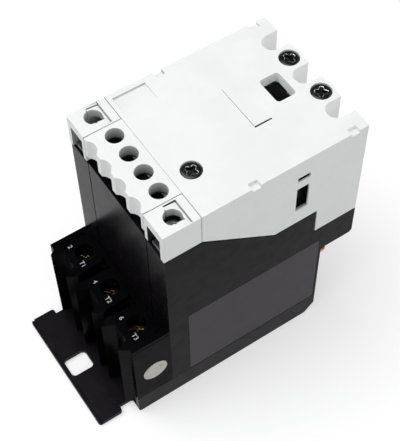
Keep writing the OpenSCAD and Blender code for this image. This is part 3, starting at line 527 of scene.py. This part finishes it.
def set_camera():
    """Looks down on the terminal side and the label side."""
    level = math.cos(CAMERA_ELEVATION)
    back = Vector((math.sin(CAMERA_AZIMUTH) * level, -math.cos(CAMERA_AZIMUTH) * level,
                   math.sin(CAMERA_ELEVATION)))
    right = Vector((0, 0, 1)).cross(back).normalized()
    up = back.cross(right)
    cos, sin = math.cos(CAMERA_ROLL), math.sin(CAMERA_ROLL)
    tilted = Matrix((right * cos + up * sin, up * cos - right * sin, back)).transposed()
    camera = bpy.data.objects.new("camera", bpy.data.cameras.new("camera"))
    camera.data.sensor_width, camera.data.lens = SENSOR_MM, LENS_MM
    camera.data.clip_start, camera.data.clip_end = 0.01, 20
    camera.matrix_world = Matrix.Translation(CAMERA_AT) @ tilted.to_4x4()
    bpy.context.scene.collection.objects.link(camera)
    bpy.context.scene.camera = camera


def set_floor():
    """A pale sheet that reads as white where it is seen and keeps a soft shadow."""
    sheet = bmesh.new()
    bmesh.ops.create_grid(sheet, x_segments=1, y_segments=1, size=6)
    data = bpy.data.meshes.new("floor")
    sheet.to_mesh(data)
    sheet.free()
    material, tree, place = start_material("pale_floor")
    tint = noise(tree, place, 3.0, 2.0)
    colour = mixed(tree, tint, srgb("#d0d0d1"), srgb("#d4d4d4"))
    matt = add(tree, "BsdfDiffuse", [("Color", colour)])
    rays = add(tree, "LightPath").outputs
    seen = combined(tree, "MAXIMUM", rays["Is Camera Ray"], rays["Is Glossy Ray"])
    seen = combined(tree, "MAXIMUM", seen, rays["Is Transmission Ray"])
    lift = combined(tree, "MULTIPLY", seen, FLOOR_GLOW)
    glow = add(tree, "Emission", [("Color", (1, 1, 1, 1)), ("Strength", lift)])
    both = add(tree, "AddShader", [(0, matt.outputs[0]), (1, glow.outputs[0])])
    add(tree, "OutputMaterial", [("Surface", both.outputs[0])])
    data.materials.append(material)
    floor = bpy.data.objects.new("floor", data)
    floor.location.z = -FLOOR_DROP
    bpy.context.scene.collection.objects.link(floor)


def set_light():
    """A strong soft box high on the left, weak ones on the right and behind, and a room that is
    bright low down and dim above."""
    for name, size, watts, place in LAMPS:
        lamp = bpy.data.lights.new(name, "AREA")
        lamp.size, lamp.energy = size, watts
        box = bpy.data.objects.new(name, lamp)
        box.location = place
        box.rotation_euler = (LAMPS_FACE - box.location).to_track_quat("-Z", "Y").to_euler()
        bpy.context.scene.collection.objects.link(box)
    world = bpy.data.worlds.new("pale_room")
    world.use_nodes = True
    tree = world.node_tree
    tree.nodes.clear()
    place = add(tree, "TexCoord").outputs["Generated"]
    height = add(tree, "SeparateXYZ", [("Vector", place)]).outputs["Z"]
    room = add(tree, "Background", [("Color", srgb("#fbfbfd")),
                                    ("Strength", spread(tree, height, 0.1, 0.45, 0.8, 0.16))])
    add(tree, "OutputWorld", [("Surface", room.outputs[0])])
    bpy.context.scene.world = world
    bpy.context.scene.view_settings.view_transform = "Standard"


set_camera()
set_floor()
set_light()

# ---- Shells: each with the radius of its edges in millimetres ----

shells = (
    ("base_tray", TRAY_THERMOSET, 0.3), ("main_housing", BLACK_THERMOSET, 0.22),
    ("terminal_block", BLOCK_THERMOSET, 0.25), ("front_cover", WHITE_THERMOPLASTIC, 0.25),
    ("control_terminal_cover", WHITE_THERMOPLASTIC, 0.2),
    ("coil_cover_left", WHITE_THERMOPLASTIC, 0.2), ("coil_cover_right", WHITE_THERMOPLASTIC, 0.2),
    ("marker_plate", WHITE_THERMOPLASTIC, 0.15))
for name, material, radius in shells:
    rounded_copy(name, name + "_moulding", material, radius * MM)


# ---- Screws, in millimetres ----

def turned(outline, steps=48):
    """A new bmesh spun round Z from an open outline of (radius, height) pairs."""
    mesh = bmesh.new()
    corners = [mesh.verts.new((r * MM, 0, z * MM)) for r, z in outline]
    lines = [mesh.edges.new(pair) for pair in zip(corners, corners[1:])]
    bmesh.ops.spin(mesh, geom=corners + lines, cent=(0, 0, 0), axis=(0, 0, 1), angle=FULL_TURN,
                   steps=steps, use_merge=True)
    bmesh.ops.remove_doubles(mesh, verts=mesh.verts, dist=0.0005 * MM)
    return mesh


def cross_outline(long_arm, short_arm, width, waist):
    """Corners of a driver recess: two crossing slots that widen a little where they meet."""
    w, k = width / 2, width / 2 * waist
    return [(long_arm, -w), (long_arm, w), (k, k), (w, short_arm), (-w, short_arm), (-k, k),
            (-long_arm, w), (-long_arm, -w), (-k, -k), (-w, -short_arm), (w, -short_arm), (k, -k)]


def sink_recess(mesh, outline, depth, wear_and_highlight, taper=0.72):
    """Closes the flat top of a turned head round a recess that narrows towards its bottom.
    The driver has rounded its mouth by the wear_and_highlight radius and rubbed it bare; the bare
    tone is made bright enough to be partly a painted glint."""
    rim = [e for e in mesh.edges if e.is_boundary and all(abs(v.co.z) < HAIR for v in e.verts)]
    corners = [mesh.verts.new((x * MM, y * MM, 0)) for x, y in outline]
    mouth = [mesh.edges.new(pair) for pair in zip(corners, corners[1:] + corners[:1])]
    bmesh.ops.triangle_fill(mesh, use_beauty=True, edges=rim + mouth)
    walls = bmesh.ops.extrude_edge_only(mesh, edges=mouth)["geom"]
    low = verts_of(walls)
    bmesh.ops.scale(mesh, vec=(taper, taper, 1), verts=low)
    bmesh.ops.translate(mesh, vec=(0, 0, -depth * MM), verts=low)
    bottom = [e for e in edges_of(walls) if all(v in low for v in e.verts)]
    bmesh.ops.triangle_fill(mesh, use_beauty=True, edges=bottom)
    rubbed_and_highlight = mesh.faces.layers.float.new("rubbed_and_highlight")
    for face in bevelled(mesh, mouth, wear_and_highlight * MM):
        face[rubbed_and_highlight] = 1.0


def wind_thread(mesh, radius, pitch, low, high, per_turn=24):
    """A helical ridge with a sharp crest at this radius, between two heights of a shank."""
    root, width = radius - 0.62 * pitch, 0.84 * pitch
    start = [mesh.verts.new((r * MM, 0, z * MM)) for r, z in
             ((root, low), (radius, low + width / 2), (root, low + width))]
    lines = [mesh.edges.new(pair) for pair in zip(start, start[1:] + start[:1])]
    steps = int((high - low - width) / pitch * per_turn)
    wound = bmesh.ops.spin(mesh, geom=start + lines, cent=(0, 0, 0), axis=(0, 0, 1),
                           dvec=(0, 0, pitch * MM / per_turn), angle=FULL_TURN * steps / per_turn,
                           steps=steps)
    bmesh.ops.holes_fill(mesh, edges=lines + edges_of(wound["geom_last"]), sides=0)


def screw(head_r, head_h, shank_r, length, recess, depth, crown, pitch, wear_and_highlight=0.08):
    """A screw that hangs from z = 0: crowned head, shank with a thread and a chamfered tip.
    The recess is the outline of its driver recess, crown the drop from its flat top to its rim."""
    land, chamfer, neck, tip = 0.12, 0.2, 0.6, 0.8
    flat = max(math.hypot(x, y) for x, y in recess) + land
    core = shank_r - 0.5 * pitch
    bend = [(flat + (head_r - flat) * math.sin(a), -crown * (1 - math.cos(a)))
            for a in (math.radians(15 * k) for k in range(7))]
    under = [(head_r, -head_h + chamfer), (head_r - chamfer, -head_h), (shank_r, -head_h),
             (shank_r, -head_h - neck), (core, -head_h - neck - 0.5 * pitch),
             (core, -length + tip), (core * 0.55, -length), (0, -length)]
    mesh = turned([*bend, *under])
    sink_recess(mesh, recess, depth, wear_and_highlight)
    wind_thread(mesh, shank_r, pitch, -length + 0.6, -head_h - 0.7)
    bmesh.ops.recalc_face_normals(mesh, faces=mesh.faces)
    return mesh


# Blackened recessed screws that hold the front cover, each left at a turn of its own
COVER_HEADS_AT_MM, COVER_SCREW_TURNS = 95.4, (0.5, 0.9, 0.2)
cover_screw = screw(head_r=3.3, head_h=1.9, shank_r=1.4, length=14.0, depth=1.1, crown=0.45,
                    pitch=0.8, wear_and_highlight=0.13, recess=cross_outline(2.05, 2.05, 0.95, 1.8))
stand_for("cover_screws", repeated(cover_screw, [
    at_mm(x, y, COVER_HEADS_AT_MM) @ turn_by(turn)
    for (x, y), turn in zip(COVER_SCREWS_MM, COVER_SCREW_TURNS)]), BLACK_OXIDE)

# Zinc-plated screws that hold the tray from below, one in each corner of their node's box
HEAD_MM = 2.4
low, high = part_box("base_screws")
base_screw = screw(head_r=HEAD_MM, head_h=1.1, shank_r=1.3, length=11.0, depth=0.8, crown=0.25,
                   pitch=0.7, recess=cross_outline(1.45, 1.45, 0.6, 1.5))
upside_down = Matrix.Rotation(math.pi, 4, "X")
stand_for("base_screws", repeated(base_screw, [
    Matrix.Translation((x, y, low.z)) @ upside_down
    for x in (low.x + HEAD_MM * MM, high.x - HEAD_MM * MM)
    for y in (low.y + HEAD_MM * MM, high.y - HEAD_MM * MM)]), ZINC_PLATE)

# Terminal screws with a slot and a cross: yellow-passivated for the poles, steel for the coil
POLE_SCREW = dict(head_r=3.0, head_h=2.6, shank_r=2.0, depth=1.2, crown=0.3, pitch=0.9,
                  recess=cross_outline(2.55, 1.6, 0.95, 1.15))
COIL_SCREW = dict(head_r=2.7, head_h=2.4, shank_r=1.75, depth=1.1, crown=0.35, pitch=0.8,
                  recess=cross_outline(2.3, 1.5, 0.8, 1.15))
for name, sizes, turn, material in (
        *(("terminal_screw_%d" % pole, POLE_SCREW, 0.35 * pole, BRASS) for pole in POLES),
        ("coil_screw_left", COIL_SCREW, 1.9, SCREW_STEEL),
        ("coil_screw_right", COIL_SCREW, 0.6, SCREW_STEEL)):
    low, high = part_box(name)
    terminal_screw = screw(length=(high.z - low.z) / MM, **sizes)
    stand_for(name, repeated(terminal_screw, [over_middle(low, high, high.z) @ turn_by(turn)]),
              material)


# ---- Springs ----

def wind_spring(radius, wire, low, high, turns, sides=10, steps=28):
    """Round wire wound round Z: its end turns lie close and the turns between stand apart."""
    mesh = bmesh.new()
    section = Matrix.Translation((radius, 0, low + wire)) @ Matrix.Rotation(math.pi / 2, 4, "X")
    bmesh.ops.create_circle(mesh, segments=sides, radius=wire, matrix=section)
    dead = 2.1 * wire
    live = (high - low - 2 * wire - 2 * dead) / (turns - 2)
    geom = list(mesh.verts) + list(mesh.edges)
    for rise, count in ((dead, 1), (live, turns - 2), (dead, 1)):
        last = bmesh.ops.spin(mesh, geom=geom, cent=(0, 0, 0), axis=(0, 0, 1),
                              dvec=(0, 0, rise / steps), angle=FULL_TURN * count,
                              steps=steps * count)["geom_last"]
        geom = [g for g in last if not isinstance(g, bmesh.types.BMFace)]
    bmesh.ops.holes_fill(mesh, edges=[e for e in mesh.edges if e.is_boundary], sides=0)
    bmesh.ops.recalc_face_normals(mesh, faces=mesh.faces)
    return mesh


RETURN_WIRE, CONTACT_WIRE, SPRING_TURNS = 0.35 * MM, 0.3 * MM, 6

low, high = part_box("return_springs")
radius = (high.x - low.x) / 2
spring = wind_spring(radius - RETURN_WIRE, RETURN_WIRE, low.z, high.z, SPRING_TURNS)
spring_pair = stand_for("return_springs", repeated(spring, [
    Matrix.Translation(((low.x + high.x) / 2, y, 0))
    for y in (low.y + radius, high.y - radius)]), SPRING_WIRE)
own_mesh(spring_pair)
for pole in POLES:
    name = "contact_spring_%d" % pole
    low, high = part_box(name)
    spring = wind_spring((high.x - low.x) / 2 - CONTACT_WIRE, CONTACT_WIRE, low.z, high.z,
                         SPRING_TURNS)
    piece = stand_for(name, repeated(spring, [over_middle(low, high, 0)]), SPRING_WIRE)
    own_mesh(piece)


# ---- Magnet and coil ----

SHEET, SHEET_GAP, SHEET_EDGE = 0.55 * MM, 0.012 * MM, 0.07 * MM


def lie_sheets(node):
    """Cuts a core's outline into single sheets along Y, each with its edges broken."""
    low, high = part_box(node)
    mesh = merged_copy(node)
    away = [f for f in mesh.faces
            if not (f.normal.y < -0.9 and abs(f.calc_center_median().y - low.y) < HAIR)]
    bmesh.ops.delete(mesh, geom=away, context="FACES")
    count = round((high.y - low.y) / SHEET)
    pitch = (high.y - low.y) / count
    back = bmesh.ops.extrude_face_region(mesh, geom=list(mesh.faces))["geom"]
    bmesh.ops.translate(mesh, vec=(0, pitch - SHEET_GAP, 0), verts=verts_of(back))
    bmesh.ops.recalc_face_normals(mesh, faces=mesh.faces)
    sharp = [e for e in mesh.edges if len(e.link_faces) == 2 and e.calc_face_angle(0) > 0.6
             and abs(e.verts[0].co.y - e.verts[1].co.y) < HAIR]
    bevelled(mesh, sharp, SHEET_EDGE, segments=1)
    return repeated(mesh, [Matrix.Translation((0, k * pitch, 0)) for k in range(count)])


for name in ("fixed_core", "armature"):
    stand_for(name, lie_sheets(name), LAMINATIONS)


def round_rectangle(half_x, half_y, radius, middle_y, steps=6):
    """Corners of a rectangle with arcs at its corners, anticlockwise, each with its way out."""
    found = []
    for quarter, (sx, sy) in enumerate(((1, 1), (-1, 1), (-1, -1), (1, -1))):
        centre = Vector((sx * (half_x - radius), sy * (half_y - radius) + middle_y, 0))
        for step in range(steps + 1):
            a = (quarter + step / steps) * math.pi / 2
            out = Vector((math.cos(a), math.sin(a), 0))
            found.append((centre + out * radius, out))
    return found


WIRE_PITCH, COIL_SLACK, COIL_CORNER = 0.75 * MM, 0.02 * MM, 2 * MM
BORE_X, BORE_Y = 7.5 * MM, 8.9 * MM
VALLEY = 0.35
RIDGE = ((0.18, 0.1), (0.5, 0.0), (0.82, 0.1), (1.0, VALLEY))  # rise and sink, in wire pitches


def wind_coil(node):
    """The wound wire seen from outside: one ridge a turn, with flat ends and a hollow middle."""
    low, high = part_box(node)
    count = int((high.z - low.z) / WIRE_PITCH)
    pitch = (high.z - low.z) / count
    middle = (low.y + high.y) / 2
    outline = round_rectangle(high.x - COIL_SLACK, (high.y - low.y) / 2 - COIL_SLACK, COIL_CORNER,
                              middle)
    mesh = bmesh.new()
    ring = [mesh.verts.new(spot + Vector((0, 0, low.z)) - out * pitch * VALLEY)
            for spot, out in outline]
    edges = [mesh.edges.new(pair) for pair in zip(ring, ring[1:] + ring[:1])]
    for turn in range(count):
        for rise, sink in RIDGE:
            made = bmesh.ops.extrude_edge_only(mesh, edges=edges)["geom"]
            verts = set(verts_of(made))
            edges = [e for e in edges_of(made) if set(e.verts) <= verts]
            for vert in verts:
                spot, out = min(outline, key=lambda pair: (pair[0].x - vert.co.x) ** 2
                                + (pair[0].y - vert.co.y) ** 2)
                vert.co = spot - out * pitch * sink + Vector((0, 0, low.z + (turn + rise) * pitch))
    ends = [e for e in mesh.edges if e.is_boundary]
    for vert in verts_of(bmesh.ops.extrude_edge_only(mesh, edges=ends)["geom"]):
        vert.co.x *= BORE_X / high.x
        vert.co.y = middle + (vert.co.y - middle) * BORE_Y / (high.y - middle)
    bmesh.ops.bridge_loops(mesh, edges=[e for e in mesh.edges if e.is_boundary])
    bmesh.ops.recalc_face_normals(mesh, faces=mesh.faces)
    return mesh


stand_for("coil_winding", wind_coil("coil_winding"), ENAMEL_WIRE)

# ---- Contacts, clamps and other parts, each with the radius of its edges in millimetres ----

small_parts = (
    ("contact_carrier", BROWN_THERMOSET, 0.25), ("position_indicator", SMOOTH_BLACK, 0.3),
    ("coil_bobbin", NATURAL_NYLON, 0.2), ("arc_chamber_cover", BLACK_THERMOSET, 0.2),
    ("core_cushion", CUSHION_RUBBER, 0.3), ("shading_rings", COPPER, 0.15),
    ("armature_pins", ZINC_PLATE, 0.2), ("arc_splitters", ZINC_PLATE, 0.12),
    ("coil_terminal_left", SCREW_STEEL, 0.15), ("coil_terminal_right", SCREW_STEEL, 0.15),
    ("coil_saddle_left", ZINC_PLATE, 0.2), ("coil_saddle_right", ZINC_PLATE, 0.2),
    ("rating_label", LABEL_FILM, 0.06), ("inspection_sticker", STICKER_PAPER, 0.02),
    *((part + "_%d" % pole, finish, radius) for pole in POLES for part, finish, radius in (
        ("terminal_clamp", ZINC_PLATE, 0.3), ("load_contact", COPPER, 0.18),
        ("line_contact", COPPER, 0.18), ("contact_bridge", COPPER, 0.18))))
for name, material, radius in small_parts:
    rounded_copy(name, name + "_detail", material, radius * MM)


# ---- Markings, in millimetres ----

POLE_PITCH_MM, TOWER_TOP_MM = 16.6, 38.6
MARK_HEIGHT_MM, INK_MM, CAPITAL_SHARE, BOLDER_SHARE = 1.65, 0.02, 0.72, 0.012
DIGIT_AT_MM, LETTER_AT_MM = (-4.3, -9.0), (4.0, -8.9)


def stamp(name, words, x, y):
    """Characters stamped flat on a tower's top, read from the terminal side."""
    height = MARK_HEIGHT_MM * MM
    curve = bpy.data.curves.new(name, "FONT")
    curve.body, curve.size = words, height / CAPITAL_SHARE
    curve.align_x, curve.align_y, curve.offset = "CENTER", "CENTER", BOLDER_SHARE * height
    text = bpy.data.objects.new(name, curve)
    bpy.context.scene.collection.objects.link(text)
    bpy.context.view_layer.update()
    data = bpy.data.meshes.new_from_object(
        text.evaluated_get(bpy.context.evaluated_depsgraph_get()))
    bpy.data.objects.remove(text)
    bpy.data.curves.remove(curve)
    mesh = bmesh.new()
    mesh.from_mesh(data)
    bpy.data.meshes.remove(data)
    bmesh.ops.remove_doubles(mesh, verts=mesh.verts, dist=0.005 * MM)
    bmesh.ops.transform(mesh, matrix=at_mm(x, y, TOWER_TOP_MM), verts=mesh.verts)
    made = bmesh.ops.extrude_face_region(mesh, geom=list(mesh.faces))["geom"]
    bmesh.ops.translate(mesh, vec=(0, 0, INK_MM * MM), verts=verts_of(made))
    bmesh.ops.recalc_face_normals(mesh, faces=mesh.faces)
    make_piece(name, mesh, MARKING_INK, body_of["terminal_block"],
               smooth=False)


for pole in POLES:
    middle = (pole - 2) * POLE_PITCH_MM
    stamp("mark_%d" % (2 * pole), str(2 * pole), middle + DIGIT_AT_MM[0], DIGIT_AT_MM[1])
    stamp("mark_T%d" % pole, "T%d" % pole, middle + LETTER_AT_MM[0], LETTER_AT_MM[1])

# ---- CAD nodes keep a finish of their own, also where a piece stands for them ----

slot_material = {
    "housing_plastic": BLACK_THERMOSET, "cover_plastic": WHITE_THERMOPLASTIC,
    "label_film": LABEL_FILM, "sticker_paper": STICKER_PAPER, "indicator_plastic": SMOOTH_BLACK,
    "carrier_plastic": BROWN_THERMOSET, "bobbin_plastic": NATURAL_NYLON,
    "blackened_steel": BLACK_OXIDE, "zinc_steel": ZINC_PLATE, "spring_steel": SPRING_WIRE,
    "lamination_steel": LAMINATIONS, "terminal_brass": BRASS, "contact_copper": COPPER,
    "enamel_wire": ENAMEL_WIRE, "lead_insulation": LEAD_SLEEVE, "cushion_rubber": CUSHION_RUBBER}
for name, part in cad_node.items():
    part.data.materials.clear()
    part.data.materials.append(slot_material[slot_of[name]])
